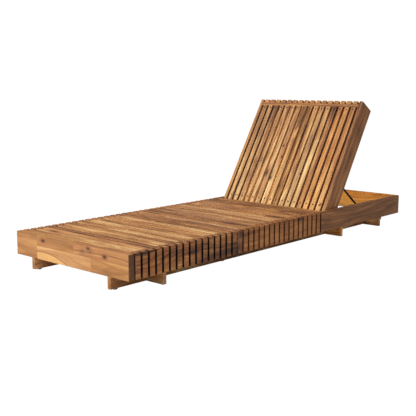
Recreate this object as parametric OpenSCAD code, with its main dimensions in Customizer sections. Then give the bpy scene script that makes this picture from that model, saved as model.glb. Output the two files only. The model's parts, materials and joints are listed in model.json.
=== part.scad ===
// Reclining sun lounger: a low slatted wooden box on an underframe of runners and cross
// boards, with a slatted backrest that pivots in the open bay at the head end and is held
// up by a steel prop standing on two notched racks.
// The foot end points to -Y, the head end to +Y. The origin is on the floor, at the middle.

/* [Overall size] */
// Length over the foot board and the head board
overall_l = 2000; // [1980:5:2040]
// Width over the side battens
overall_w = 684; // [670:2:720]
// Height of the box, from its lower edge to the lying surface
box_h = 98; // [96:1:104]
// Height of the runners and cross boards below the box
leg_h = 48; // [44:1:60]
// Height of the plastic glides under the runners
glide_h = 4; // [3:0.5:6]

/* [Boards] */
// Thickness of the side rails, battens, side boards, head board and underframe boards
board_t = 18; // [17:0.5:20]
// Thickness of the foot board
foot_t = 28; // [24:1:30]
// Thickness of the board across the middle of the platform
mid_t = 29; // [26:1:30]
// Thickness of the board between the platform and the backrest
header_t = 28; // [24:1:30]

/* [Slats] */
// Number of slats in each half of the platform
slat_n = 16; // [14:1:16]
// Width of one slat and of one side batten
slat_w = 26; // [22:1:28]
// Thickness of the slats
slat_t = 20; // [16:1:22]
// Distance from one platform slat to the next
slat_pitch = 36.42; // [36:0.02:36.6]
// Gap between the foot board and the first slat
first_gap = 5.2; // [4:0.2:8]
// Width of the bearers under the slats
bearer_w = 22; // [18:1:30]
// Depth of the bearers under the slats
bearer_h = 32; // [24:1:40]

/* [Underframe] */
// Distance from the middle to the inner face of each runner
runner_x = 224; // [210:1:230]
// How far the runners stop short of the head board's outer face
runner_end_gap = 5; // [4:1:30]
// Distance from the middle to the end of each long cross board
cross_x = 335; // [332:1:338]
// Front face of the foremost cross board, from the foot board's outer face
cross_front = 180; // [120:5:240]
// Front face of the cross board under the prop, from the head board's outer face
cross_prop = 577; // [572:1:620]
// Front face of the rearmost cross board, from the head board's outer face
cross_rear = 203; // [195:1:240]
// Radius of the round glides
glide_r = 10; // [8:0.5:11]

/* [Backrest] */
// Angle of the backrest above the platform, up to the uppermost notch
back_tilt = 58.1; // [30:0.1:58.1]
// Gap from the header board to where the raised backrest's face meets the lying surface
face_gap = 31.2; // [31:0.1:34]
// Half the width over the backrest's side boards
back_x = 321; // [316:1:321]
// Depth of the backrest, from the slats' face to the side boards' rear edge
back_d = 97; // [94:0.5:97]
// Distance from the pivot to the head end of the backrest
back_l = 631.5; // [600:0.5:640]
// Distance from the pivot to the foot end of the backrest
back_foot = 30; // [26:1:30]
// Depth of the pivot below the lying surface
pivot_depth = 42; // [40:1:42]
// Distance from the pivot to the lower row of slat screws
low_screws = 45.3; // [44:0.5:50]
// Depth of the rails under the backrest's slats
back_rail_h = 40; // [30:1:42]

/* [Prop] */
// Radius of the prop's round bar
bar_r = 5; // [4:0.25:5]
// Distance from the backrest's pivot to the prop's pivot, along the backrest
prop_u = 203.5; // [195:0.5:210]
// Depth of the prop's pivot behind the slats' face
prop_depth = 76; // [74:0.5:78]
// Length of the prop, from its pivot to its foot bar
prop_l = 322.5; // [310:0.5:330]
// Height of the foot bar above the box's lower edge
foot_bar_z = 18.5; // [18:0.5:22]

/* [Hidden] */
$fn = 48;

// Colours
light_wood = [0.80, 0.55, 0.32];
warm_wood = [0.66, 0.42, 0.23];
dark_wood = [0.42, 0.25, 0.13];
steel_black = [0.05, 0.05, 0.05];
nylon_black = [0.08, 0.08, 0.08];
zinc = [0.62, 0.60, 0.56];

// Backrest angles that the racks' notches hold, the uppermost first
notch_tilts = [58.1, 51, 43, 34, 22];
top_tilt = notch_tilts[0];

// Heights
box_z = glide_h + leg_h;
top_z = box_z + box_h;

// Places along the length
foot_y = -overall_l / 2;
head_y = overall_l / 2;
front_y = foot_y + foot_t;
first_slat_y = front_y + first_gap;
mid_y = first_slat_y + slat_n * slat_pitch + slat_w - mid_t;
bay_y = first_slat_y + (2 * slat_n + 1) * slat_pitch;
header_y = bay_y + 3;
head_in_y = head_y - board_t;

// Places across the width
half_w = overall_w / 2;
rail_out_x = half_w - board_t;
rail_in_x = rail_out_x - board_t;

// Underframe
cross_ys = [foot_y + cross_front, mid_y + (mid_t - board_t) / 2, head_y - cross_prop, head_y - cross_rear];
short_cross_x = runner_x + board_t + 6;
cross_ends = [cross_x, short_cross_x, cross_x, cross_x];
lap = leg_h / 2;
glide_ys = [foot_y + 29, head_y - cross_prop + board_t + 30, head_y - 45];
glide_x = runner_x + board_t / 2;
glide_pin_r = 2;
glide_pin_l = 12;

// Fasteners
dowel_r = 4;
dowel_l = 28;
dowel_zs = [box_z + 30, box_z + 68];
screw_r = 2.25;
screw_head_r = 4.5;
screw_head_h = 3;
sink_r = 5;
sink_d = 16;
screw_up = 30;
slat_screw_head_r = 3.6;
slat_screw_r = 2;
slat_screw_sunk = 1;
slat_screw_l = 42;
play = 0.1;

// Backrest, in its own lying-flat frame: x across, y from the pivot to the head, z from the pivot up
back_in_x = back_x - board_t;
back_top = pivot_depth;
back_bottom = pivot_depth - back_d;
back_slat_n = 16;
back_slat_pitch = (2 * back_in_x + slat_w) / (back_slat_n + 1);
head_rail_y = back_l - 2 * board_t + 0.5;
back_batten_y = head_rail_y + board_t;
bearer_t = 24;
high_screws = head_rail_y - bearer_t / 2 - 1.5;
mid_bearer_y = back_l / 2 - bearer_t / 2;
pivot_y = header_y + header_t + face_gap + pivot_depth * tan(top_tilt / 2);
pivot_z = top_z - pivot_depth;
corner_r = 28;

// Pivot hardware
pivot_r = 6;
bush_wall = 3;
bush_l = 13;
flange_t = 1.6;
flange_r = 13;
run_play = 0.05;

// Prop
arm_x = back_in_x - bar_r - 2;
bend_r = back_in_x - arm_x;
prop_pin_l = 12;
prop_bush_r = 8;
prop_w = back_top - prop_depth;
foot_bar_height = box_z + foot_bar_z;
foot_bar_x = arm_x + bar_r;

// Racks
rack_t = 18;
rack_x = runner_x + board_t;
rack_top = foot_bar_height - bar_r - 0.5;
rack_bottom = glide_h + 14;
notch_r = bar_r + 1;
notch_d = 8;
horn_h = 12;

// Where the prop's pivot is when the backrest stands at an angle
function prop_pivot(tilt) = [
    pivot_y + prop_u * cos(tilt) - prop_w * sin(tilt),
    pivot_z + prop_u * sin(tilt) + prop_w * cos(tilt)
];
// How far below horizontal the prop points then, with its foot bar at the racks' height
function prop_fall(tilt) = asin((prop_pivot(tilt)[1] - foot_bar_height) / prop_l);
// Where the foot bar is along the length
function foot_bar_y(tilt) = prop_pivot(tilt)[0] + prop_l * cos(prop_fall(tilt));

rack_end = 30;
rack_front = foot_bar_y(top_tilt) - rack_end;
rack_rear = foot_bar_y(notch_tilts[len(notch_tilts) - 1]) + rack_end;
rack_l = rack_rear - rack_front;

// ---- helpers ----

// Box from its lowest corner and its size
module box(at, size) {
    translate(at) cube(size);
}

// As drawn on the right for side = 1, or its mirror image on the left for side = -1
module on_side(side) {
    if (side > 0) children();
    else mirror([1, 0, 0]) children();
}

// Round bar or bore along Y
module rod_y(at, r, l) {
    translate(at) rotate([-90, 0, 0]) cylinder(r = r, h = l);
}

// Round bar or bore along X
module rod_x(at, r, l) {
    translate(at) rotate([0, 90, 0]) cylinder(r = r, h = l);
}

// Puts the backrest's lying-flat frame at its pivot, tilted up
module in_back() {
    translate([0, pivot_y, pivot_z]) rotate([back_tilt, 0, 0]) children();
}

// Puts the prop's frame at its pivot, with the arms running along +Y
module in_prop() {
    at = prop_pivot(back_tilt);
    translate([0, at[0], at[1]]) rotate([-prop_fall(back_tilt), 0, 0]) children();
}

// ---- platform ----

// The dowels of one side of the frame, or their bores with extra radius
module side_dowels(extra) {
    rail_x = rail_in_x + board_t / 2;
    board_x = rail_out_x + board_t / 2;
    for (z = dowel_zs) {
        for (y = [front_y, mid_y, mid_y + mid_t, header_y])
            rod_y([rail_x, y - dowel_l / 2, z], dowel_r + extra, dowel_l);
        rod_y([board_x, head_in_y - dowel_l / 2, z], dowel_r + extra, dowel_l);
        rod_x([rail_out_x - dowel_l / 2, header_y + header_t / 2, z], dowel_r + extra, dowel_l);
    }
}

module both_dowels(extra) {
    for (side = [-1, 1]) on_side(side) side_dowels(extra);
}

module frame_dowels() {
    color(light_wood) both_dowels(-play);
}

// Where the screws come up through the cross boards, across and along, on the right
screw_xs = [rail_in_x + board_t / 2, 120, cross_x - 7, cross_x - 7];
module at_frame_screws(side) {
    for (i = [0 : len(cross_ys) - 1])
        translate([side * screw_xs[i], cross_ys[i] + board_t / 2, 0]) children();
}

// Bores for the screws through the underframe and up into the box
module frame_screw_bores() {
    for (side = [-1, 1]) at_frame_screws(side) {
        cylinder(r = screw_r + play, h = box_z + screw_up + 1);
        cylinder(r = sink_r, h = glide_h + sink_d + play);
    }
}

module frame_screws() {
    color(zinc) for (side = [-1, 1]) at_frame_screws(side) {
        translate([0, 0, glide_h + sink_d - screw_head_h]) cylinder(r = screw_head_r, h = screw_head_h);
        translate([0, 0, glide_h + sink_d]) cylinder(r = screw_r, h = box_z + screw_up - glide_h - sink_d);
    }
}

module foot_board() {
    color(light_wood) difference() {
        box([-half_w, foot_y, box_z], [overall_w, foot_t, box_h]);
        both_dowels(0);
    }
}

module mid_board() {
    color(dark_wood) difference() {
        box([-half_w, mid_y, box_z], [overall_w, mid_t, box_h]);
        both_dowels(0);
        frame_screw_bores();
    }
}

module header_board() {
    color(warm_wood) difference() {
        box([-rail_out_x, header_y, box_z], [2 * rail_out_x, header_t, box_h]);
        both_dowels(0);
    }
}

module head_board() {
    color(warm_wood) difference() {
        box([-half_w, head_in_y, box_z], [overall_w, board_t, box_h]);
        both_dowels(0);
    }
}

// A rail on the right, between two places along the length
module side_rail(y0, y1) {
    color(dark_wood) difference() {
        box([rail_in_x, y0, box_z], [board_t, y1 - y0, box_h]);
        side_dowels(0);
        frame_screw_bores();
    }
}

// The board along the open bay on the right, with the seat of the pivot bush
module bay_side() {
    color(dark_wood) difference() {
        box([rail_out_x, bay_y, box_z], [board_t, head_in_y - bay_y, box_h]);
        side_dowels(0);
        frame_screw_bores();
        rod_x([rail_out_x - 1, pivot_y, pivot_z], pivot_r + bush_wall, bush_l + 1);
    }
}

// Upright battens outside a rail on the right, starting at slat number first
module battens(first) {
    color(warm_wood) for (i = [first : first + slat_n - 1])
        box([rail_out_x, first_slat_y + i * slat_pitch, box_z], [board_t, slat_w, box_h]);
}

// Slats across half of the platform
module platform_slats(first) {
    color(warm_wood) for (i = [first : first + slat_n - 1])
        box([-rail_in_x, first_slat_y + i * slat_pitch, top_z - slat_t], [2 * rail_in_x, slat_w, slat_t]);
}

// Bearers under the slats: one along each rail and one along the middle
module bearers(y0, y1) {
    color(dark_wood) for (x = [bearer_w / 2 - rail_in_x, 0, rail_in_x - bearer_w / 2])
        box([x - bearer_w / 2, y0, top_z - slat_t - bearer_h], [bearer_w, y1 - y0, bearer_h]);
}

// ---- underframe ----

module runner() {
    color(warm_wood) difference() {
        box([runner_x, foot_y + 1, glide_h], [board_t, overall_l - 1 - runner_end_gap, leg_h]);
        for (y = cross_ys)
            box([runner_x - 1, y, glide_h + lap], [board_t + 2, board_t, lap + 1]);
        for (y = glide_ys)
            translate([glide_x, y, 0]) cylinder(r = glide_pin_r + play, h = glide_h + glide_pin_l + 1);
    }
}

// A board across the underframe, halved over the runners
module cross_board(i) {
    color(warm_wood) difference() {
        box([-cross_ends[i], cross_ys[i], glide_h], [2 * cross_ends[i], board_t, leg_h]);
        for (side = [-1, 1]) on_side(side) {
            box([runner_x, cross_ys[i] - 1, glide_h - 1], [board_t, board_t + 2, lap + 1]);
        }
        frame_screw_bores();
    }
}

module floor_glides() {
    edge = 1.5;
    color(nylon_black) for (side = [-1, 1], y = glide_ys)
        translate([side * glide_x, y, 0]) rotate_extrude() polygon([
            [0, 0], [glide_r - edge, 0], [glide_r, edge], [glide_r, glide_h],
            [glide_pin_r, glide_h], [glide_pin_r, glide_h + glide_pin_l], [0, glide_h + glide_pin_l]
        ]);
}

// Notched board on the outer face of the right runner, cut to stand over the cross boards
module rack() {
    color(warm_wood) difference() {
        union() {
            box([rack_x, rack_front, rack_bottom], [rack_t, rack_l, rack_top - rack_bottom]);
            box([rack_x, rack_front, rack_top - 1], [rack_t, rack_end - notch_r - 0.5, horn_h + 1]);
        }
        for (tilt = notch_tilts) {
            rod_x([rack_x - 1, foot_bar_y(tilt), rack_top - notch_d + notch_r], notch_r, rack_t + 2);
            box([rack_x - 1, foot_bar_y(tilt) - notch_r, rack_top - notch_d + notch_r],
                [rack_t + 2, 2 * notch_r, notch_d]);
        }
        for (y = cross_ys) box([rack_x - 1, y, 0], [rack_t + 2, board_t, box_z]);
    }
}

// Flanged sleeves in the bay's side boards, blind on the outside
module pivot_bushes() {
    color(nylon_black) for (side = [-1, 1]) on_side(side) difference() {
        union() {
            rod_x([rail_out_x, pivot_y, pivot_z], pivot_r + bush_wall, bush_l);
            rod_x([rail_out_x - flange_t, pivot_y, pivot_z], flange_r, flange_t);
        }
        rod_x([rail_out_x - flange_t - 1, pivot_y, pivot_z], pivot_r + run_play, bush_l + flange_t);
    }
}

// ---- backrest, in its lying-flat frame ----

// The dowels at the right ends of the backrest's cross rails
module back_side_dowels(extra) {
    low_z = back_top - slat_t - back_rail_h / 2;
    for (y = [low_screws, mid_bearer_y + bearer_t / 2, high_screws])
        rod_x([back_in_x - dowel_l / 2, y, low_z], dowel_r + extra, dowel_l);
    for (z = [back_bottom + 25, back_top - 25])
        rod_x([back_in_x - dowel_l / 2, head_rail_y + board_t / 2, z], dowel_r + extra, dowel_l);
}

module back_dowel_bores() {
    for (side = [-1, 1]) on_side(side) back_side_dowels(0);
}

module back_dowels() {
    color(light_wood) in_back() for (side = [-1, 1]) on_side(side) back_side_dowels(-play);
}

// Outline of a side board: the lower corner at the pivot is rounded to swing clear
module back_side_outline() {
    difference() {
        translate([-back_foot, back_bottom]) square([back_foot + back_l, back_d]);
        translate([-back_foot - 1, back_bottom - 1]) square([corner_r + 1, corner_r + 1]);
    }
    translate([corner_r - back_foot, corner_r + back_bottom]) circle(r = corner_r);
}

module back_side() {
    color(dark_wood) in_back() difference() {
        translate([back_in_x, 0, 0]) rotate([90, 0, 90]) linear_extrude(board_t) back_side_outline();
        rod_x([back_in_x - 1, 0, 0], pivot_r + play, board_t + 2);
        rod_x([back_in_x - 1, prop_u, prop_w], prop_bush_r, prop_pin_l + 2);
        back_side_dowels(0);
    }
}

// A rail across the backrest under its slats
module back_rail(y) {
    box([-back_in_x, y, back_top - slat_t - back_rail_h], [2 * back_in_x, bearer_t, back_rail_h]);
}

// Places of the slats across the backrest
function back_slat_x(i) = (i - (back_slat_n - 1) / 2) * back_slat_pitch;

// Screws at both ends of a slat, or their bores
module at_slat_screws(i) {
    for (y = [low_screws, high_screws])
        translate([back_slat_x(i), y, back_top]) children();
}

module slat_screw_bores(i) {
    at_slat_screws(i) {
        translate([0, 0, -slat_screw_sunk - screw_head_h]) cylinder(r = slat_screw_head_r + play, h = 10);
        translate([0, 0, -slat_screw_l - 2]) cylinder(r = slat_screw_r + play, h = slat_screw_l);
    }
}

module all_slat_screw_bores() {
    for (i = [0 : back_slat_n - 1]) slat_screw_bores(i);
}

module back_foot_rail() {
    color(warm_wood) in_back() difference() {
        back_rail(low_screws - bearer_t / 2);
        all_slat_screw_bores();
        back_dowel_bores();
    }
}

module back_mid_bearer() {
    color(warm_wood) in_back() difference() {
        back_rail(mid_bearer_y);
        back_dowel_bores();
    }
}

module back_top_bearer() {
    color(warm_wood) in_back() difference() {
        back_rail(head_rail_y - bearer_t);
        all_slat_screw_bores();
        back_dowel_bores();
    }
}

module back_head_rail() {
    color(warm_wood) in_back() difference() {
        box([-back_in_x, head_rail_y, back_bottom], [2 * back_in_x, board_t, back_d]);
        back_dowel_bores();
    }
}

module back_head_battens() {
    color(warm_wood) in_back() for (i = [0 : back_slat_n - 1])
        box([back_slat_x(i) - slat_w / 2, back_batten_y, back_bottom],
            [slat_w, back_l - back_batten_y, back_d]);
}

module back_slat(i) {
    color(i % 3 == 0 ? warm_wood : light_wood) in_back() difference() {
        box([back_slat_x(i) - slat_w / 2, -back_foot, back_top - slat_t],
            [slat_w, head_rail_y + back_foot, slat_t]);
        slat_screw_bores(i);
    }
}

module back_slat_screws() {
    color(zinc) in_back() for (i = [0 : back_slat_n - 1]) at_slat_screws(i) {
        translate([0, 0, -slat_screw_sunk - screw_head_h])
            cylinder(r = slat_screw_head_r, h = screw_head_h);
        translate([0, 0, -slat_screw_l]) cylinder(r = slat_screw_r, h = slat_screw_l - slat_screw_sunk);
    }
}

module pivot_rod() {
    l = rail_out_x + bush_l - flange_t - 1;
    color(steel_black) in_back() rod_x([-l, 0, 0], pivot_r, 2 * l);
}

module prop_bushes() {
    color(nylon_black) in_back() for (side = [-1, 1]) on_side(side) difference() {
        rod_x([back_in_x, prop_u, prop_w], prop_bush_r - play, prop_pin_l + 1);
        rod_x([back_in_x - 1, prop_u, prop_w], bar_r + run_play, prop_pin_l + 3);
    }
}

// ---- prop ----

module prop_foot_bar() {
    color(steel_black) in_prop() rod_x([-foot_bar_x, prop_l, 0], bar_r, 2 * foot_bar_x);
}

// Round bar bent outward into a pin at its upper end, welded to the foot bar at its lower end
module prop_arm() {
    color(steel_black) in_prop() difference() {
        union() {
            rod_x([back_in_x, 0, 0], bar_r, prop_pin_l);
            translate([back_in_x, bend_r, 0]) rotate([0, 0, 180])
                rotate_extrude(angle = 90) translate([bend_r, 0]) circle(r = bar_r);
            rod_y([arm_x, bend_r, 0], bar_r, prop_l - bend_r);
        }
        rod_x([-foot_bar_x - 1, prop_l, 0], bar_r, 2 * foot_bar_x + 2);
    }
}

// ---- nodes ----

foot_board();
mid_board();
header_board();
head_board();
on_side(-1) side_rail(front_y, mid_y);  // front_rail_left
side_rail(front_y, mid_y);  // front_rail_right
on_side(-1) side_rail(mid_y + mid_t, header_y);  // rear_rail_left
side_rail(mid_y + mid_t, header_y);  // rear_rail_right
on_side(-1) bay_side();  // bay_side_left
bay_side();  // bay_side_right
on_side(-1) battens(0);  // front_battens_left
battens(0);  // front_battens_right
on_side(-1) battens(slat_n + 1);  // rear_battens_left
battens(slat_n + 1);  // rear_battens_right
platform_slats(0);  // front_slats
platform_slats(slat_n + 1);  // rear_slats
bearers(front_y, mid_y);  // front_bearers
bearers(mid_y + mid_t, header_y);  // rear_bearers
on_side(-1) runner();  // runner_left
runner();  // runner_right
cross_board(0);  // cross_board_1
cross_board(1);  // cross_board_2
cross_board(2);  // cross_board_3
cross_board(3);  // cross_board_4
floor_glides();
on_side(-1) rack();  // rack_left
rack();  // rack_right
pivot_bushes();
frame_dowels();
frame_screws();
on_side(-1) back_side();  // back_side_left
back_side();  // back_side_right
back_head_rail();
back_top_bearer();
back_mid_bearer();
back_foot_rail();
back_head_battens();
back_slat(0);  // back_slat_01
back_slat(1);  // back_slat_02
back_slat(2);  // back_slat_03
back_slat(3);  // back_slat_04
back_slat(4);  // back_slat_05
back_slat(5);  // back_slat_06
back_slat(6);  // back_slat_07
back_slat(7);  // back_slat_08
back_slat(8);  // back_slat_09
back_slat(9);  // back_slat_10
back_slat(10);  // back_slat_11
back_slat(11);  // back_slat_12
back_slat(12);  // back_slat_13
back_slat(13);  // back_slat_14
back_slat(14);  // back_slat_15
back_slat(15);  // back_slat_16
back_slat_screws();
back_dowels();
pivot_rod();
prop_bushes();
on_side(-1) prop_arm();  // prop_arm_left
prop_arm();  // prop_arm_right
prop_foot_bar();
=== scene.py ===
"""A reclining sun lounger of oiled acacia slats, on a white studio floor.

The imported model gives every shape, size and place. This script gives it wood, steel and nylon
finishes, eases the edges of its boards, and sets the floor, the light and the camera.
"""

import json
import math
import random

import bpy
from mathutils import Euler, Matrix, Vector


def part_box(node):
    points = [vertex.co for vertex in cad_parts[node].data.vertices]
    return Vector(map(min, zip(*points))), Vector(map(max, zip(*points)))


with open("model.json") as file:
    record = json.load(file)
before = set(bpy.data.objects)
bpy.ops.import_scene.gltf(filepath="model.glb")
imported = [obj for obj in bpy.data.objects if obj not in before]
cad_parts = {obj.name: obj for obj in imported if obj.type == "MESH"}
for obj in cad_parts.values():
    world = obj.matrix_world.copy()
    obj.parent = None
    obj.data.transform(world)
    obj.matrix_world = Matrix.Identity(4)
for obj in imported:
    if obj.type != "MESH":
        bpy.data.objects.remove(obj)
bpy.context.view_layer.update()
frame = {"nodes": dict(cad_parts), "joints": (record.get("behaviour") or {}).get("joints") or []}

MM = 0.001

# ---- Places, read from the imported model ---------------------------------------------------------

TILT_JOINT = next(joint for joint in frame["joints"] if joint["name"] == "backrest_tilt")
BACK_TILT = math.radians(-TILT_JOINT["range_deg"][0])
BACK_PIVOT = Vector(TILT_JOINT["pos_m"])
BOX_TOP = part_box("foot_board")[1].z
SLAT_COUNT = 16                          # in each half of the platform, and in the backrest
SLAT_WIDTH = 26 * MM


def row_of(node):
    """The start and the pitch, along Y, of the row of slats that one node holds."""
    low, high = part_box(node)
    pitch = (high.y - low.y - SLAT_WIDTH) / (SLAT_COUNT - 1)
    return low.y - (pitch - SLAT_WIDTH) / 2, pitch


def row_of_back():
    """The start and the pitch, along X, of the backrest's slats, which have a node each."""
    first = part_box("back_slat_01")
    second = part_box("back_slat_02")
    pitch = second[0].x - first[0].x
    width = first[1].x - first[0].x
    return first[0].x - (pitch - width) / 2, pitch


# ---- Colours ------------------------------------------------------------------------------------


def srgb(red, green, blue):
    """A linear colour from the usual 0 to 255 numbers."""
    def linear(value):
        value /= 255
        return value / 12.92 if value <= 0.04045 else ((value + 0.055) / 1.055) ** 2.4
    return (linear(red), linear(green), linear(blue), 1.0)


# Acacia from its palest sapwood to its darkest streaks.
WOOD_RAMP = [
    (0.00, srgb(228, 186, 127)),
    (0.25, srgb(197, 145, 89)),
    (0.50, srgb(166, 111, 63)),
    (0.75, srgb(120, 75, 44)),
    (1.00, srgb(64, 39, 26)),
]
WOOD_PORE = srgb(120, 75, 44)

# Each tone of board: how far along the ramp its plain wood lies, and a tint over it.
TONES = {
    "gold": (0.26, (1.04, 1.00, 0.86)),
    "tan": (0.30, (1.00, 1.03, 1.12)),
    "pink": (0.34, (1.02, 0.97, 1.12)),
    # Partly the wood's own tone and partly painted bounce light from the wood round the bay.
    "orange_bounce": (0.13, (1.20, 0.95, 0.50)),
    # Partly the wood's own tone and partly painted light, for a face in shade under the platform.
    "apricot_painted_light": (0.08, (1.20, 0.98, 0.60)),
    "amber": (0.43, (1.03, 1.03, 1.02)),
    # The next five tones are the wood's own tone under a painted sheen: the extra green and blue in
    # their tints stands in for a pale reflection of the light.
    "fawn": (0.41, (1.00, 1.05, 1.24)),
    "mocha": (0.55, (1.00, 1.04, 1.28)),
    "wheat": (0.18, (0.98, 1.10, 1.20)),
    "straw": (0.27, (0.98, 1.18, 1.44)),
    "reed": (0.35, (0.98, 1.16, 1.40)),
    "olive": (0.45, (0.98, 1.07, 1.04)),
    "copper": (0.42, (1.04, 0.93, 0.86)),
    "cedar": (0.48, (1.03, 0.92, 0.86)),
    "rust": (0.54, (1.02, 0.91, 0.82)),
    "clay": (0.64, (1.02, 0.93, 0.86)),
    "russet": (0.47, (1.03, 1.00, 1.06)),
    "stave": (0.48, (1.01, 1.04, 0.98)),
    "brown": (0.58, (1.00, 0.98, 0.96)),
    "walnut": (0.64, (1.00, 0.98, 0.95)),
    "umber": (0.68, (0.98, 0.97, 1.06)),
    "bark": (0.71, (1.02, 0.93, 0.86)),
}
KNOT_DARK = srgb(46, 36, 26)
KNOT_RIM = srgb(120, 66, 40)
SMOKE = srgb(84, 52, 38)
ARCH_BRIGHT = srgb(228, 176, 108)
ARCH_LINE = srgb(120, 68, 34)

# Tints over end grain, which is darker because it drinks more oil. White leaves it as it is.
END_GRAIN = srgb(150, 128, 120)
END_OF_FOOT_BOARD = srgb(128, 112, 112)
END_OF_MID_BOARD = srgb(225, 220, 235)
END_OF_RUNNER = srgb(205, 190, 175)
END_PALE = srgb(235, 222, 220)
WHITE = (1, 1, 1, 1)

# Tints over faces inside gaps, and over the front and rear edges of the backrest's frame. They
# are painted shade where they are below one, and painted light and sheen where they are above.
GAP_DEEP_SHADE = (0.10, 0.08, 0.07, 1)         # painted shade between the front battens, and on the rails behind
GAP_SOFT_SHADE = (0.42, 0.36, 0.3, 1)         # painted shade between the rear battens
GAP_BOUNCE_LIGHT = (1.5, 1.32, 1.0, 1)           # backrest: painted bounce light in the gaps of the lit slats and head battens
GAP_SHADE = (0.72, 0.6, 0.45, 1)         # backrest: painted shade in the gaps of the shaded slats
EDGE_SHADE = (0.74, 0.76, 0.74, 1)       # painted shade on the edges of the backrest's right side board and head rail
EDGE_LIGHT = (1.25, 1.3, 1.25, 1)         # painted light on the edges of the backrest's left side board


# ---- Shader graphs ------------------------------------------------------------------------------


class Graph:
    """Adds shader nodes to one material by short calls, each of which returns an output socket."""

    def __init__(self, name):
        self.material = bpy.data.materials.new(name)
        self.material.use_nodes = True
        self.tree = self.material.node_tree
        self.tree.nodes.clear()

    def node(self, kind, **settings):
        made = self.tree.nodes.new(kind)
        for name, value in settings.items():
            setattr(made, name, value)
        return made

    def feed(self, socket, value):
        """Links a socket to an output, or sets a plain value on it."""
        if isinstance(value, bpy.types.NodeSocket):
            self.tree.links.new(value, socket)
        else:
            socket.default_value = value

    def math(self, operation, first, second=0.0):
        made = self.node("ShaderNodeMath", operation=operation)
        self.feed(made.inputs[0], first)
        self.feed(made.inputs[1], second)
        return made.outputs[0]

    def vector(self, operation, first, second):
        made = self.node("ShaderNodeVectorMath", operation=operation)
        self.feed(made.inputs[0], first)
        self.feed(made.inputs[1], second)
        return made.outputs["Vector"]

    def length(self, vector):
        made = self.node("ShaderNodeVectorMath", operation="LENGTH")
        self.feed(made.inputs[0], vector)
        return made.outputs["Value"]

    def turn_x(self, vector, centre, angle):
        """A vector, turned about an axis along X through a centre."""
        made = self.node("ShaderNodeVectorRotate", rotation_type="X_AXIS")
        self.feed(made.inputs["Vector"], vector)
        made.inputs["Center"].default_value = centre
        made.inputs["Angle"].default_value = angle
        return made.outputs[0]

    def split(self, vector):
        made = self.node("ShaderNodeSeparateXYZ")
        self.feed(made.inputs[0], vector)
        return made.outputs[0], made.outputs[1], made.outputs[2]

    def join(self, x, y, z):
        made = self.node("ShaderNodeCombineXYZ")
        for socket, value in zip(made.inputs, (x, y, z)):
            self.feed(socket, value)
        return made.outputs[0]

    def remap(self, value, low, high, to_low=0.0, to_high=1.0):
        made = self.node("ShaderNodeMapRange", interpolation_type="SMOOTHSTEP")
        for socket, number in zip(made.inputs, (value, low, high, to_low, to_high)):
            self.feed(socket, number)
        return made.outputs[0]

    def mix(self, factor, first, second, blend="MIX"):
        made = self.node("ShaderNodeMix", data_type="RGBA", blend_type=blend)
        self.feed(made.inputs["Factor"], factor)
        self.feed(made.inputs[6], first)
        self.feed(made.inputs[7], second)
        return made.outputs[2]

    def noise(self, place, scale, detail=2.0, roughness=0.5):
        """Noise in space. The scale is three numbers, about how many waves it has in a metre."""
        made = self.node("ShaderNodeTexNoise", noise_dimensions="3D")
        self.feed(made.inputs["Vector"], self.vector("MULTIPLY", place, scale))
        made.inputs["Scale"].default_value = 1.0
        made.inputs["Detail"].default_value = detail
        made.inputs["Roughness"].default_value = roughness
        return made.outputs[0]

    def noise_line(self, distance, scale, detail, roughness):
        """Noise along one distance."""
        made = self.node("ShaderNodeTexNoise", noise_dimensions="1D")
        self.feed(made.inputs["W"], distance)
        made.inputs["Scale"].default_value = scale
        made.inputs["Detail"].default_value = detail
        made.inputs["Roughness"].default_value = roughness
        return made.outputs[0]

    def random(self, number):
        """Three random values that depend only on a number, as a colour."""
        made = self.node("ShaderNodeTexWhiteNoise", noise_dimensions="1D")
        self.feed(made.inputs["W"], number)
        return made.outputs["Color"]

    def ramp(self, factor, stops, interpolation="LINEAR"):
        made = self.node("ShaderNodeValToRGB")
        ramp = made.color_ramp
        ramp.interpolation = interpolation
        while len(ramp.elements) < len(stops):
            ramp.elements.new(1.0)
        for element, (place, colour) in zip(ramp.elements, stops):
            element.position = place
            element.color = colour
        self.feed(made.inputs[0], factor)
        return made.outputs[0]

    def ramp_with_alpha(self, factor, stops):
        """A stepped ramp's colour and its alpha, which carries a number of its own."""
        colour = self.ramp(factor, stops, "CONSTANT")
        return colour, colour.node.outputs["Alpha"]

    def centred(self, noise):
        """A noise, moved to lie round zero."""
        return self.math("SUBTRACT", noise, 0.5)

    def total(self, terms):
        """The sum of some outputs, each times its own weight."""
        result = 0.0
        for value, weight in terms:
            made = self.node("ShaderNodeMath", operation="MULTIPLY_ADD")
            self.feed(made.inputs[0], value)
            self.feed(made.inputs[1], weight)
            self.feed(made.inputs[2], result)
            result = made.outputs[0]
        return result

    def bump(self, height, distance, strength):
        made = self.node("ShaderNodeBump")
        made.inputs["Strength"].default_value = strength
        made.inputs["Distance"].default_value = distance
        self.feed(made.inputs["Height"], height)
        return made.outputs[0]

    def surface(self, colour, roughness, normal, metallic=0.0, specular=0.5):
        """Ends the graph in a Principled shader, and returns the material."""
        shader = self.node("ShaderNodeBsdfPrincipled")
        self.feed(shader.inputs["Base Color"], colour)
        self.feed(shader.inputs["Roughness"], roughness)
        shader.inputs["Metallic"].default_value = metallic
        shader.inputs["Specular IOR Level"].default_value = specular
        self.feed(shader.inputs["Normal"], normal)
        output = self.node("ShaderNodeOutputMaterial")
        self.tree.links.new(shader.outputs[0], output.inputs["Surface"])
        return self.material


# ---- Wood ---------------------------------------------------------------------------------------


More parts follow.
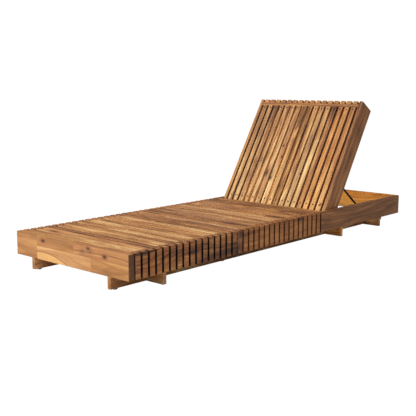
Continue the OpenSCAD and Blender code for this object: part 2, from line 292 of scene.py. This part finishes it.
# About how many waves each layer has in a metre: along the grain, across it and deep.
BEND_SCALE = (1.6, 9.0, 9.0)
FIBRE_SCALE = (14.0, 420.0, 420.0)
CLOUD_SCALE = (4.0, 30.0, 30.0)
PORE_SCALE = (70.0, 1500.0, 1500.0)
WILD_KNOT_SCALE = (5.0, 16.0, 16.0)
RING_SCALE = 300.0                       # per metre from the pith
BAND_SCALE = 70.0                        # per metre from the pith

BOARD_SPREAD = (9.0, 3.0, 3.0)           # how far apart in the tree boards may be cut, in metres
WILD_KNOT_SHARE = 0.2                    # of the places where a knot could be
MARK_STRETCH = (0.6, 1.0, 1.0)           # marks are longer along the grain
KNOT_STRENGTH = 0.9
SMOKE_STRENGTH = 0.42


def turn_to_grain(parts, grain):
    """Puts the axis that the grain runs along first, then the one across it."""
    x, y, z = parts
    return (x, y, z) if grain == "X" else (y, x, z)


def grain_frame(graph, grain):
    """A point's own place and normal, turned so that the grain runs along the first axis."""
    coordinates = graph.node("ShaderNodeTexCoord")
    place = coordinates.outputs["Object"]
    normal = coordinates.outputs["Normal"]
    if grain == "BACK":
        place = graph.turn_x(place, BACK_PIVOT, -BACK_TILT)
        normal = graph.turn_x(normal, (0, 0, 0), -BACK_TILT)
    return turn_to_grain(graph.split(place), grain), turn_to_grain(graph.split(normal), grain)


def in_row(axis, start, pitch):
    """A function that counts equal boards along axis 0 or 1 of the grain frame."""
    def count(graph, place):
        distance = graph.math("SUBTRACT", place[axis], start)
        return graph.math("FLOOR", graph.math("DIVIDE", distance, pitch))
    return count


def place_in_tree(graph, index, one_log, seed, chance):
    """Three numbers for where in the tree a board was cut: its own, or the same for a row."""
    if index is None or one_log:
        return (chance.random(), chance.random(), chance.random())
    return graph.random(graph.math("ADD", index, seed * 37.0))


def tone_of(graph, index, tones):
    """How far along the ramp a board's plain wood lies, and the tint over it."""
    if index is None:
        shade, tint = TONES[tones[0]]
        return shade, (*tint, 1.0)
    count = len(tones)
    stops = [(i / count, (*TONES[tone][1], TONES[tone][0])) for i, tone in enumerate(tones)]
    middle = graph.math("DIVIDE", graph.math("ADD", index, 0.5), float(count))
    tint, shade = graph.ramp_with_alpha(middle, stops)
    return shade, tint


def distance_from_pith(graph, across, depth, shuffle, bend):
    """How far out in the tree a place lies, with the pith near the board and the rings bent."""
    pith_a, pith_b, _ = graph.split(graph.vector("SUBTRACT", shuffle, (0.5, 0.5, 0.5)))
    ring_x = graph.math("ADD", across, graph.math("MULTIPLY", pith_a, 0.22))
    ring_y = graph.math("ADD", depth, graph.math("MULTIPLY", pith_b, 0.16))
    radius = graph.length(graph.join(ring_x, ring_y, 0.0))
    return graph.math("ADD", radius, graph.math("MULTIPLY", bend, 0.055))


def add_wild_knots(graph, colour, spot, fibres):
    """Dark ovals drawn out along the grain, in a few places of a coarse lattice."""
    lattice = graph.node("ShaderNodeTexVoronoi", voronoi_dimensions="3D", feature="F1")
    graph.feed(lattice.inputs["Vector"], graph.vector("MULTIPLY", spot, WILD_KNOT_SCALE))
    lattice.inputs["Scale"].default_value = 1.0
    reach = graph.math("SUBTRACT", lattice.outputs["Distance"], graph.math("MULTIPLY", fibres, 0.08))
    lot, _, _ = graph.split(lattice.outputs["Color"])
    chosen = graph.math("LESS_THAN", lot, WILD_KNOT_SHARE)
    core = graph.math("MULTIPLY", graph.remap(reach, 0.15, 0.07), chosen)
    rim = graph.math("MULTIPLY", graph.remap(reach, 0.34, 0.12), chosen)
    colour = graph.mix(graph.math("MULTIPLY", rim, 0.55), colour, KNOT_RIM)
    return graph.mix(graph.math("MULTIPLY", core, 0.85), colour, KNOT_DARK)


def add_mark(graph, colour, place, wander, mark, rim, core, strength):
    """A dark mark, with an outline that wanders: a knot, or a smoky patch where it is weak."""
    size, *centre = [number * MM for number in mark]
    reach = graph.vector("SUBTRACT", graph.join(*place), centre)
    reach = graph.length(graph.vector("MULTIPLY", reach, MARK_STRETCH))
    reach = graph.math("ADD", reach, graph.math("MULTIPLY", wander, size * 0.8))
    colour = graph.mix(graph.remap(reach, size * 1.8, size * 0.7, 0.0, strength * 0.6), colour, rim)
    return graph.mix(graph.remap(reach, size * 0.9, size * 0.4, 0.0, strength), colour, core)


def tint_by(graph, colour, amount, tint):
    """The colour times a tint, by an amount from 0 to 1."""
    return graph.mix(amount, colour, graph.mix(1.0, colour, tint, "MULTIPLY"))


def wood(name, grain, tones, seed, boards=None, one_log=False, contrast=1.0, painted_shade_rise=0.0,
         wild_knots=True, knots=(), smoke=(), figure=None, end_grain=END_GRAIN,
         gap_axis=None, painted_gap_light=GAP_DEEP_SHADE):
    """Oiled acacia: bent growth rings, dark streaks, fibres, pores, end grain and knots.

    grain is the axis that it runs along: X, Y, or BACK for the slope of the backrest.
    tones names the tone of each board of a row, or one tone for a single board.
    boards counts the boards of a row, so that each is cut from another piece of the tree. With
    one_log they were cut one after another from the same length, and the grain runs on.
    contrast is the strength of the pattern. fade is painted shade: it darkens the wood up the
    backrest, by so much of the ramp for each metre from its pivot, so that its lower part looks more
    lit.
    knots and smoke are marks, hard and soft: each is a size and then a centre in the grain
    frame, in millimetres. figure adds a pattern of its own.
    painted_gap_light is painted shade, and painted light where it is above one, on the faces that
    look along gap_axis, 0 for X and 1 for Y, which are faces in the gaps of a row of boards, or
    edges of the backrest's frame.
    """
    chance = random.Random(seed)
    graph = Graph(name)
    place, (end_on, _, _) = grain_frame(graph, grain)
    along, across, depth = place
    index = boards(graph, place) if boards else None
    shuffle = place_in_tree(graph, index, one_log, seed, chance)
    shade, tint = tone_of(graph, index, tones)

    # Each board is cut from another place in the tree, so its rings run another way.
    shift = graph.vector("MULTIPLY", shuffle, BOARD_SPREAD)
    spot = graph.vector("ADD", graph.join(along, across, depth), shift)
    bend = graph.noise(spot, BEND_SCALE, detail=2.0, roughness=0.45)
    radius = distance_from_pith(graph, across, depth, shuffle, bend)
    band_place = graph.math("ADD", radius, chance.random() * 40)

    # Growth rings, broader bands of heartwood, fibres, and clouds along the board.
    rings = graph.centred(graph.noise_line(radius, RING_SCALE, detail=2.0, roughness=0.6))
    bands = graph.centred(graph.noise_line(band_place, BAND_SCALE, detail=3.0, roughness=0.6))
    fibres = graph.centred(graph.noise(spot, FIBRE_SCALE, detail=3.0, roughness=0.65))
    clouds = graph.centred(graph.noise(spot, CLOUD_SCALE, detail=3.0, roughness=0.6))
    pores = graph.noise(spot, PORE_SCALE, detail=1.0)
    pattern = graph.total([(rings, 0.7), (bands, 1.2), (fibres, 0.8), (clouds, 1.1)])
    streaks = graph.remap(bands, -0.06, -0.2, 0.0, 0.3)
    # Painted shade that darkens the wood up the backrest, so that its lower part looks more lit.
    up_the_back = graph.math("SUBTRACT", along, BACK_PIVOT.y)
    darkness = graph.total([(pattern, contrast), (streaks, 1.0), (shade, 1.0), (up_the_back, painted_shade_rise)])
    colour = graph.mix(1.0, graph.ramp(darkness, WOOD_RAMP), tint, "MULTIPLY")

    # What lies on the plain wood: knots, open pores, a figure and marks.
    if wild_knots:
        colour = add_wild_knots(graph, colour, spot, fibres)
    pore = graph.remap(pores, 0.36, 0.26)
    colour = graph.mix(graph.math("MULTIPLY", pore, 0.35), colour, WOOD_PORE)
    if figure:
        colour = figure(graph, colour, place, fibres)
    for mark in smoke:
        colour = add_mark(graph, colour, place, bend, mark, SMOKE, SMOKE, SMOKE_STRENGTH)
    for mark in knots:
        colour = add_mark(graph, colour, place, fibres, mark, KNOT_RIM, KNOT_DARK, KNOT_STRENGTH)

    # End grain, and painted shade and light on faces that look along the gap axis.
    end = graph.remap(graph.math("ABSOLUTE", end_on), 0.6, 0.9, 0.0, 0.9)
    colour = tint_by(graph, colour, end, end_grain)
    if gap_axis is not None:
        facing = graph.split(graph.node("ShaderNodeTexCoord").outputs["Normal"])
        inner = graph.remap(graph.math("ABSOLUTE", facing[gap_axis]), 0.6, 0.8)
        colour = tint_by(graph, colour, inner, painted_gap_light)

    height = graph.total([(fibres, 1.0), (rings, -0.8), (pore, -0.8)])
    normal = graph.bump(height, 0.35 * MM, 0.6)
    roughness = graph.remap(fibres, -0.25, 0.25, 0.62, 0.44)
    return graph.surface(colour, roughness, normal, specular=0.4)


# ---- The foot board's own pattern ---------------------------------------------------------------

STAVE_SEAM = 43 * MM                     # below the board's top, between its two glued courses
FIRST_JOINT = -203 * MM                  # the finger joint through both courses
UPPER_JOINT = 29 * MM                    # the upper course's second joint
LOWER_JOINT = 132 * MM                   # the lower course's second joint
ARCH_MIDDLE = -160 * MM                  # the tip of an arched growth line in the lower course
ARCH_DROP = 64 * MM                      # from the board's top down to that tip
ARCH_CURVE = 1.45                        # its fall is this times the square of the run, in metres
ARCH_WANDER = 3 * MM
ARCH_FADE_IN = 4 * MM                    # how soon the wood under the line is at its brightest
ARCH_LINE_EDGES = (3.2 * MM, 0.6 * MM)   # the line starts to show, and is at its darkest
ARCH_BRIGHT_STRENGTH = 0.5
ARCH_LINE_STRENGTH = 0.72


def foot_board_staves(graph, place):
    """Counts the staves that the foot board is glued from: three above and three below."""
    x, _, z = place
    low = graph.math("LESS_THAN", z, BOX_TOP - STAVE_SEAM)
    joint = graph.total([(low, LOWER_JOINT - UPPER_JOINT), (1.0, UPPER_JOINT)])
    past_first = graph.math("GREATER_THAN", x, FIRST_JOINT)
    past_second = graph.math("GREATER_THAN", x, joint)
    return graph.total([(past_first, 1.0), (past_second, 1.0), (low, 3.0)])


def arched_line(graph, colour, place, wander):
    """One dark growth line that arches across the lower course, with brighter wood under it."""
    x, _, z = place
    run = graph.math("SUBTRACT", x, ARCH_MIDDLE)
    drop = graph.math("MULTIPLY", graph.math("MULTIPLY", run, run), ARCH_CURVE)
    below = graph.total([(z, -1.0), (drop, -1.0), (wander, ARCH_WANDER), (1.0, BOX_TOP - ARCH_DROP)])
    inside = graph.math("GREATER_THAN", x, FIRST_JOINT)
    bright = graph.math("MULTIPLY", graph.remap(below, 0.0, ARCH_FADE_IN), inside)
    colour = graph.mix(graph.math("MULTIPLY", bright, ARCH_BRIGHT_STRENGTH), colour, ARCH_BRIGHT)
    near_line = graph.remap(graph.math("ABSOLUTE", below), *ARCH_LINE_EDGES)
    line = graph.math("MULTIPLY", graph.math("MULTIPLY", near_line, inside), ARCH_LINE_STRENGTH)
    return graph.mix(line, colour, ARCH_LINE)


# ---- Metal and plastic --------------------------------------------------------------------------


def powder_coat():
    """Black powder coat: a fine pebbled skin with a satin sheen."""
    graph = Graph("black_powder_coat")
    place = graph.node("ShaderNodeTexCoord").outputs["Object"]
    pebble = graph.noise(place, (1400.0, 1400.0, 1400.0), detail=1.0)
    wear = graph.noise(place, (40.0, 40.0, 40.0), detail=3.0)
    colour = graph.mix(wear, srgb(12, 11, 11), srgb(24, 23, 22))
    roughness = graph.remap(wear, 0.3, 0.7, 0.4, 0.55)
    return graph.surface(colour, roughness, graph.bump(pebble, 0.08 * MM, 0.5), specular=0.3)


def nylon():
    """Black nylon: slightly milky, with fine moulding marks."""
    graph = Graph("black_moulded_nylon")
    place = graph.node("ShaderNodeTexCoord").outputs["Object"]
    grain = graph.noise(place, (900.0, 900.0, 900.0), detail=2.0)
    scuff = graph.noise(place, (160.0, 160.0, 30.0), detail=3.0)
    colour = graph.mix(scuff, srgb(26, 26, 27), srgb(52, 51, 50))
    roughness = graph.remap(scuff, 0.3, 0.7, 0.4, 0.62)
    return graph.surface(colour, roughness, graph.bump(grain, 0.05 * MM, 0.5))


def dark_screw():
    """Screws with a dark oxide finish, dull and slightly brown."""
    graph = Graph("dark_oxide_screw")
    place = graph.node("ShaderNodeTexCoord").outputs["Object"]
    bloom = graph.noise(place, (420.0, 420.0, 420.0), detail=3.0)
    colour = graph.mix(bloom, srgb(44, 36, 30), srgb(78, 68, 58))
    roughness = graph.remap(bloom, 0.3, 0.7, 0.42, 0.62)
    return graph.surface(colour, roughness, graph.bump(bloom, 0.03 * MM, 0.4), metallic=0.7)


# ---- The object ---------------------------------------------------------------------------------


def words(text):
    """The names in a text, which is shorter to write than a list of them."""
    return text.split()


# The tones of each row's boards. The platform's rows start at the foot end, and the backrest's
# at the left, seen from the foot end.
PLATFORM_FRONT = words("""amber tan russet umber amber tan brown tan
                          amber tan brown amber russet tan brown brown""")
PLATFORM_REAR = words("""fawn brown umber mocha mocha fawn russet fawn
                         fawn brown russet fawn russet brown umber umber""")
BATTENS_FRONT = words("""rust rust rust rust rust rust rust rust
                         clay clay clay clay clay bark clay bark""")
BATTENS_REAR = words("""cedar cedar cedar copper copper cedar copper cedar
                        rust cedar copper copper cedar cedar cedar rust""")
BACK_TONES = words("""reed straw reed reed reed straw reed wheat
                      olive wheat straw wheat amber gold gold amber""")
HEAD_BATTENS = words("""pink amber olive olive olive amber olive olive
                        amber olive olive amber olive gold olive olive""")
STAVES = words("stave stave russet stave tan stave")
SHADED_GAP_SLATS = (1, 2, 9, 11, 12, 13, 14, 15, 16)    # of the backrest, with painted shade in their gaps; the others get painted bounce light

# Knots and smoky patches: the size, then the place along, across and deep in the grain frame,
# in millimetres. The grain frame is (x, y, z) for a board along X, and (y, x, z) along Y.
FOOT_BOARD_KNOTS = [(9, -163, -1000, 132), (9, 212, -1000, 123), (7, 118, -1000, 142)]
FOOT_BOARD_SMOKE = [(15, 84, -1000, 126), (14, 128, -1000, 130)]
BATTEN_SMOKE = [(20, -580, 342, 80), (22, -520, 342, 76), (22, -460, 342, 80), (18, -410, 342, 86),
                (12, -760, 342, 68), (10, -700, 342, 72), (10, -900, 342, 64)]
BAY_SIDE_SMOKE = [(16, 300, 342, 100), (12, 270, 342, 96), (10, 760, 342, 112), (9, 560, 342, 96)]

# On the backrest: the size, then how far across it and up the slope from its pivot.
BACK_KNOTS = [(6, -59, 353), (5, -46, 291), (9, -67, 162), (5, 7, 122), (5, 285, 51), (4, 105, 203),
              (5, -224, 257)]
BACK_SMOKE = [(32, -209, 168), (28, -164, 262), (20, -67, 190), (20, -209, 250)]
BACK_SIDE_SMOKE = [(34, 321, 490), (26, 321, 350), (26, 321, 280)]
# Where those marks lie, in millimetres out from the pivot, towards the lying surface.
SLAT_FACE = 42
SIDE_MIDDLE = -10


def on_back(marks, out):
    """Marks on the backrest, moved to its grain frame, so far out from the pivot."""
    return [(size, BACK_PIVOT.y / MM + up, x, BACK_PIVOT.z / MM + out) for size, x, up in marks]


def box_finishes():
    """The boards on edge round the platform and the bay, and the platform's slats."""
    front = in_row(1, *row_of("front_slats"))
    rear = in_row(1, *row_of("rear_slats"))
    return {
        "foot_board": wood("foot_board_acacia", "X", STAVES, seed=11, boards=foot_board_staves,
                           contrast=0.5, wild_knots=False, knots=FOOT_BOARD_KNOTS,
                           smoke=FOOT_BOARD_SMOKE, figure=arched_line, end_grain=END_OF_FOOT_BOARD),
        "mid_board": wood("mid_board_acacia", "X", ["umber"], seed=12, end_grain=END_OF_MID_BOARD),
        "header_board": wood("header_board_acacia", "X", ["brown"], seed=13),
        # The head board's orange is partly its own tone and partly painted bounce light from the
        # wood round the bay.
        "head_board": wood("head_board_acacia", "X", ["orange_bounce"], seed=14, contrast=0.6,
                           wild_knots=False),
        "front_slats": wood("front_slat_acacia", "X", PLATFORM_FRONT, seed=21, boards=front),
        "rear_slats": wood("rear_slat_acacia", "X", PLATFORM_REAR, seed=22, boards=rear),
        "bay_side_left": wood("bay_side_left_acacia", "Y", ["brown"], seed=52),
        "bay_side_right": wood("bay_side_right_acacia", "Y", ["walnut"], seed=53, contrast=0.55,
                               smoke=BAY_SIDE_SMOKE),
    }


def batten_finishes():
    """The battens down both sides of the platform, whose grain runs on from one to the next."""
    front = in_row(0, *row_of("front_slats"))
    rear = in_row(0, *row_of("rear_slats"))
    finishes = {}
    for number, side in enumerate(("left", "right")):
        finishes["front_battens_" + side] = wood(
            f"front_batten_{side}_acacia", "Y", BATTENS_FRONT, seed=31 + number, boards=front,
            one_log=True, contrast=1.1, smoke=BATTEN_SMOKE, end_grain=WHITE, gap_axis=1)
        finishes["rear_battens_" + side] = wood(
            f"rear_batten_{side}_acacia", "Y", BATTENS_REAR, seed=33 + number, boards=rear,
            one_log=True, contrast=0.8, end_grain=WHITE, gap_axis=1, painted_gap_light=GAP_SOFT_SHADE)
    return finishes


def back_slat_finishes():
    """The backrest's slats, which share two materials that differ only in the painted light and
    shade on their sides: a lit copy and a shaded copy.
    """
    back = in_row(1, *row_of_back())
    slats = {}
    # One copy has painted bounce light on the slats' sides in the gaps, the other painted shade;
    # both darken up the backrest with painted shade.
    for sides, tint in (("pale", GAP_BOUNCE_LIGHT), ("dark", GAP_SHADE)):
        slats[sides] = wood(f"back_slat_{sides}_painted_gap_acacia", "BACK", BACK_TONES, seed=41,
                            boards=back, contrast=1.15, painted_shade_rise=0.52,
                            knots=on_back(BACK_KNOTS, SLAT_FACE),
                            smoke=on_back(BACK_SMOKE, SLAT_FACE), gap_axis=0, painted_gap_light=tint)
    numbers = range(1, SLAT_COUNT + 1)
    return {f"back_slat_{number:02d}": slats["dark" if number in SHADED_GAP_SLATS else "pale"]
            for number in numbers}


def back_frame_finishes():
    """The backrest's side boards, rails, bearers and head battens."""
    back = in_row(1, *row_of_back())
    # The side boards and head battens darken up the backrest with painted shade.
    finishes = {
        "back_head_battens": wood("back_head_batten_acacia", "BACK", HEAD_BATTENS, seed=42,
                                  boards=back, painted_shade_rise=0.2, end_grain=END_PALE, gap_axis=0,
                                  painted_gap_light=GAP_BOUNCE_LIGHT),
        "back_side_left": wood("back_side_left_acacia", "BACK", ["olive"], seed=54, contrast=0.7,
                               painted_shade_rise=0.3, gap_axis=1, painted_gap_light=EDGE_LIGHT),
        "back_side_right": wood("back_side_right_acacia", "BACK", ["russet"], seed=55,
                                contrast=0.8, painted_shade_rise=0.3,
                                smoke=on_back(BACK_SIDE_SMOKE, SIDE_MIDDLE), gap_axis=1,
                                painted_gap_light=EDGE_SHADE),
        "back_head_rail": wood("back_head_rail_acacia", "X", ["russet"], seed=56, contrast=0.9,
                               gap_axis=1, painted_gap_light=EDGE_SHADE),
        "back_dowels": wood("back_dowel_acacia", "X", ["tan"], seed=62, wild_knots=False),
    }
    for number, node in enumerate(("back_top_bearer", "back_mid_bearer", "back_foot_rail")):
        finishes[node] = wood(node + "_acacia", "X", ["amber"], seed=57 + number)
    return finishes


def underframe_finishes():
    """What carries the platform and the prop: rails, bearers, runners, cross boards and racks."""
    rails = wood("side_rail_acacia", "Y", ["brown"], seed=51, gap_axis=0)
    bearers = wood("bearer_acacia", "Y", ["brown"], seed=71)
    finishes = {
        "front_rail_left": rails,
        "front_rail_right": rails,
        "rear_rail_left": rails,
        "rear_rail_right": rails,
        "front_bearers": bearers,
        "rear_bearers": bearers,
        "frame_dowels": wood("frame_dowel_acacia", "X", ["tan"], seed=61, wild_knots=False),
    }
    for number, node in enumerate(("runner_left", "runner_right")):
        finishes[node] = wood(node + "_acacia", "Y", ["tan"], seed=72 + number,
                              end_grain=END_OF_RUNNER)
    # The third cross board's lighter tone is partly painted light, for its face in shade under the
    # platform.
    for number, tone in enumerate(("tan", "tan", "apricot_painted_light", "russet"), start=1):
        node = f"cross_board_{number}"
        finishes[node] = wood(node + "_acacia", "X", [tone], seed=80 + number, end_grain=END_PALE)
    for number, node in enumerate(("rack_left", "rack_right")):
        finishes[node] = wood(node + "_acacia", "Y", ["brown"], seed=90 + number)
    return finishes


def hardware_finishes():
    """The steel, the nylon and the screws."""
    steel = powder_coat()
    black = nylon()
    oxide = dark_screw()
    return {
        "pivot_rod": steel,
        "prop_arm_left": steel,
        "prop_arm_right": steel,
        "prop_foot_bar": steel,
        "floor_glides": black,
        "pivot_bushes": black,
        "prop_bushes": black,
        "frame_screws": oxide,
        "back_slat_screws": oxide,
    }


def all_finishes():
    """Each CAD node's material."""
    return {
        **box_finishes(),
        **batten_finishes(),
        **back_slat_finishes(),
        **back_frame_finishes(),
        **underframe_finishes(),
        **hardware_finishes(),
    }


EASED_EDGE = 1.2 * MM                    # the width of a board's rounded edges


def ease_edges(piece, width):
    """Rounds a board's edges a little, as sanding leaves them."""
    weld = piece.modifiers.new("weld", "WELD")
    weld.merge_threshold = 0.01 * MM
    flatten = piece.modifiers.new("flatten", "DECIMATE")
    flatten.decimate_type = "DISSOLVE"
    flatten.angle_limit = math.radians(0.5)
    bevel = piece.modifiers.new("eased_edges", "BEVEL")
    bevel.width = width
    bevel.segments = 2
    bevel.limit_method = "ANGLE"
    bevel.angle_limit = math.radians(40)
    bevel.use_clamp_overlap = False


def dress(finishes):
    """Gives every CAD node its material, and every wooden one its eased edges."""
    for node, piece in frame["nodes"].items():
        material = finishes[node]
        for slot in piece.material_slots:
            slot.material = material
        if material.name.endswith("_acacia"):
            ease_edges(piece, EASED_EDGE)


# ---- Floor, light and camera --------------------------------------------------------------------


BACKDROP_GLOW = 1.05                     # floor and surround look just brighter than white
GLOW_SHARE = 0.97                        # of what the camera sees of the floor; the rest is shaded
FLOOR_COLOUR = (0.8, 0.77, 0.73, 1)
SURROUND_COLOUR = (1.0, 0.95, 0.89, 1)
SURROUND_LIGHT = 0.36


def make_floor():
    """A pale floor that looks white, and lights the object only by what its own colour reflects."""
    bpy.ops.mesh.primitive_plane_add(size=60)
    floor = bpy.context.object
    floor.name = "studio_floor"
    graph = Graph("studio_floor")
    path = graph.node("ShaderNodeLightPath")
    diffuse = graph.node("ShaderNodeBsdfDiffuse")
    diffuse.inputs["Color"].default_value = FLOOR_COLOUR
    glow = graph.node("ShaderNodeEmission")
    glow.inputs["Strength"].default_value = BACKDROP_GLOW
    blend = graph.node("ShaderNodeMixShader")
    graph.feed(blend.inputs[0], graph.math("MULTIPLY", path.outputs["Is Camera Ray"], GLOW_SHARE))
    graph.feed(blend.inputs[1], diffuse.outputs[0])
    graph.feed(blend.inputs[2], glow.outputs[0])
    output = graph.node("ShaderNodeOutputMaterial")
    graph.tree.links.new(blend.outputs[0], output.inputs["Surface"])
    floor.data.materials.append(graph.material)


def make_world():
    """A white surround, dimmer as a light than it looks."""
    world = bpy.data.worlds.new("studio")
    bpy.context.scene.world = world
    world.use_nodes = True
    tree = world.node_tree
    tree.nodes.clear()
    path = tree.nodes.new("ShaderNodeLightPath")
    seen = tree.nodes.new("ShaderNodeBackground")
    seen.inputs["Color"].default_value = WHITE
    seen.inputs["Strength"].default_value = BACKDROP_GLOW
    lit = tree.nodes.new("ShaderNodeBackground")
    lit.inputs["Color"].default_value = SURROUND_COLOUR
    lit.inputs["Strength"].default_value = SURROUND_LIGHT
    blend = tree.nodes.new("ShaderNodeMixShader")
    output = tree.nodes.new("ShaderNodeOutputWorld")
    tree.links.new(path.outputs["Is Camera Ray"], blend.inputs[0])
    tree.links.new(lit.outputs[0], blend.inputs[1])
    tree.links.new(seen.outputs[0], blend.inputs[2])
    tree.links.new(blend.outputs[0], output.inputs["Surface"])


def make_light(name, place, aim, size, power, colour, gloss=True):
    """A square softbox that faces the point aim. Without gloss it shows in no reflection."""
    data = bpy.data.lights.new(name, "AREA")
    data.shape = "SQUARE"
    data.size = size
    data.energy = power
    data.color = colour
    lamp = bpy.data.objects.new(name, data)
    lamp.location = place
    lamp.rotation_euler = (Vector(aim) - Vector(place)).to_track_quat("-Z", "Y").to_euler()
    lamp.visible_glossy = gloss
    bpy.context.scene.collection.objects.link(lamp)


def make_camera():
    """The camera stands off the near front corner, a little above the backrest."""
    data = bpy.data.cameras.new("camera")
    data.lens = 65.96
    data.sensor_width = 36
    data.dof.use_dof = False
    data.clip_end = 200
    camera = bpy.data.objects.new("camera", data)
    camera.location = (2.315, -2.788, 0.755)
    elevation = math.radians(9.31)
    azimuth = math.radians(41.72)
    roll = math.radians(0.1)
    turn = Euler((math.pi / 2 - elevation, 0, azimuth)).to_matrix()
    camera.rotation_euler = (turn @ Euler((0, 0, roll)).to_matrix()).to_euler()
    bpy.context.scene.collection.objects.link(camera)
    bpy.context.scene.camera = camera


make_camera()
make_floor()
make_world()
make_light("front_softbox", place=(0.1, -4.9, 5.3), aim=(0, 0, 0.2), size=3.0, power=390,
           colour=(0.95, 1.0, 1.0))
make_light("left_softbox", place=(-3.4, -1.5, 1.0), aim=(0, 0.6, 0.2), size=1.4, power=150,
           colour=(1.0, 0.97, 0.93), gloss=False)
bpy.context.scene.view_settings.view_transform = "Standard"
dress(all_finishes())
